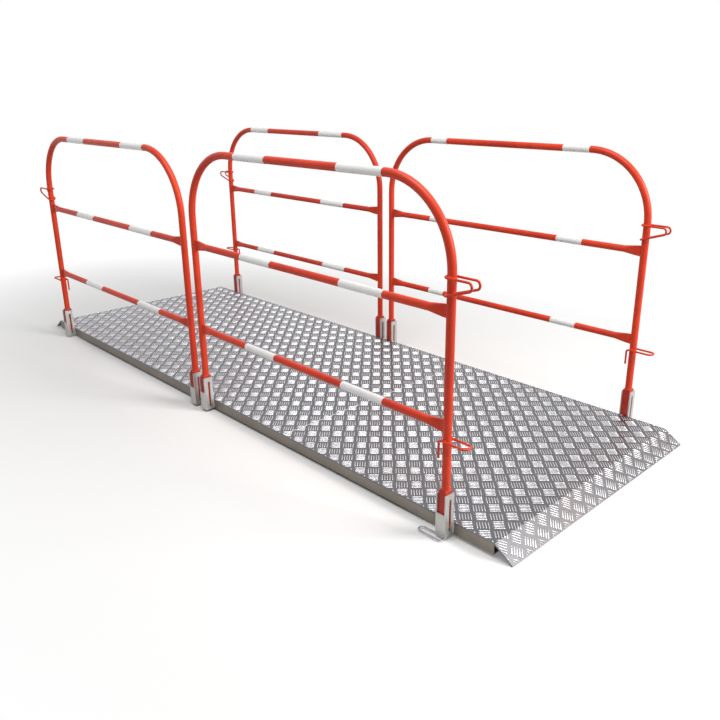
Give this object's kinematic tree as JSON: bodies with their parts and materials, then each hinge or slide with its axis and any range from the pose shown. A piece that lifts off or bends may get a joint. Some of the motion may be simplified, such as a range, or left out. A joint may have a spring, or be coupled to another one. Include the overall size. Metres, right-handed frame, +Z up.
{
  "type": "footbridge",
  "caption": "Aluminium tread-plate footbridge with folded end ramps and lift-out tubular guard frames standing in slotted side sockets.",
  "frame": {"origin": "middle of the deck at ground level, where both ramp tips rest", "axes": "+X along the deck towards the short sheet's ramp, +Y across the deck towards the back guard frames, +Z up"},
  "size_m": [2.9744, 1.089, 1.0051],
  "materials": {
    "tread_sheet": "bright rolled tread plate",
    "plain_aluminium": "dull mill finish",
    "socket_plate": "bright mill finish",
    "spring_wire": "galvanised",
    "red_paint": "satin red paint",
    "guide_pin": "satin red paint, rubbed",
    "reflective_tape": "white reflective tape"
  },
  "bodies": {
    "bridge": {"long_deck_sheet": "tread_sheet", "short_deck_sheet": "tread_sheet", "front_side_rail": "plain_aluminium", "back_side_rail": "plain_aluminium", "cross_members": "plain_aluminium", "spring_clip": "spring_wire", "front_left_outer_socket": "socket_plate", "front_left_inner_socket": "socket_plate", "front_right_outer_socket": "socket_plate", "front_right_inner_socket": "socket_plate", "back_left_outer_socket": "socket_plate", "back_left_inner_socket": "socket_plate", "back_right_outer_socket": "socket_plate", "back_right_inner_socket": "socket_plate"},
    "front_left_guard": {"front_left_hoop": "red_paint", "front_left_mid_rail": "red_paint", "front_left_low_rail": "red_paint", "front_left_feet": "red_paint", "front_left_pins": "guide_pin", "front_left_hooks": "red_paint", "front_left_bands": "reflective_tape"},
    "front_right_guard": {"front_right_hoop": "red_paint", "front_right_mid_rail": "red_paint", "front_right_low_rail": "red_paint", "front_right_feet": "red_paint", "front_right_pins": "guide_pin", "front_right_hooks": "red_paint", "front_right_bands": "reflective_tape"},
    "back_left_guard": {"back_left_hoop": "red_paint", "back_left_mid_rail": "red_paint", "back_left_low_rail": "red_paint", "back_left_feet": "red_paint", "back_left_pins": "guide_pin", "back_left_hooks": "red_paint", "back_left_bands": "reflective_tape"},
    "back_right_guard": {"back_right_hoop": "red_paint", "back_right_mid_rail": "red_paint", "back_right_low_rail": "red_paint", "back_right_feet": "red_paint", "back_right_pins": "guide_pin", "back_right_hooks": "red_paint", "back_right_bands": "reflective_tape"}
  },
  "joints": [
    {"name": "front_left_lift", "type": "slide", "parent": "bridge", "child": "front_left_guard", "axis": [0, 0, 1], "range_m": [0, 0.075]},
    {"name": "front_right_lift", "type": "slide", "parent": "bridge", "child": "front_right_guard", "axis": [0, 0, 1], "range_m": [0, 0.075]},
    {"name": "back_left_lift", "type": "slide", "parent": "bridge", "child": "back_left_guard", "axis": [0, 0, 1], "range_m": [0, 0.075]},
    {"name": "back_right_lift", "type": "slide", "parent": "bridge", "child": "back_right_guard", "axis": [0, 0, 1], "range_m": [0, 0.075]}
  ]
}
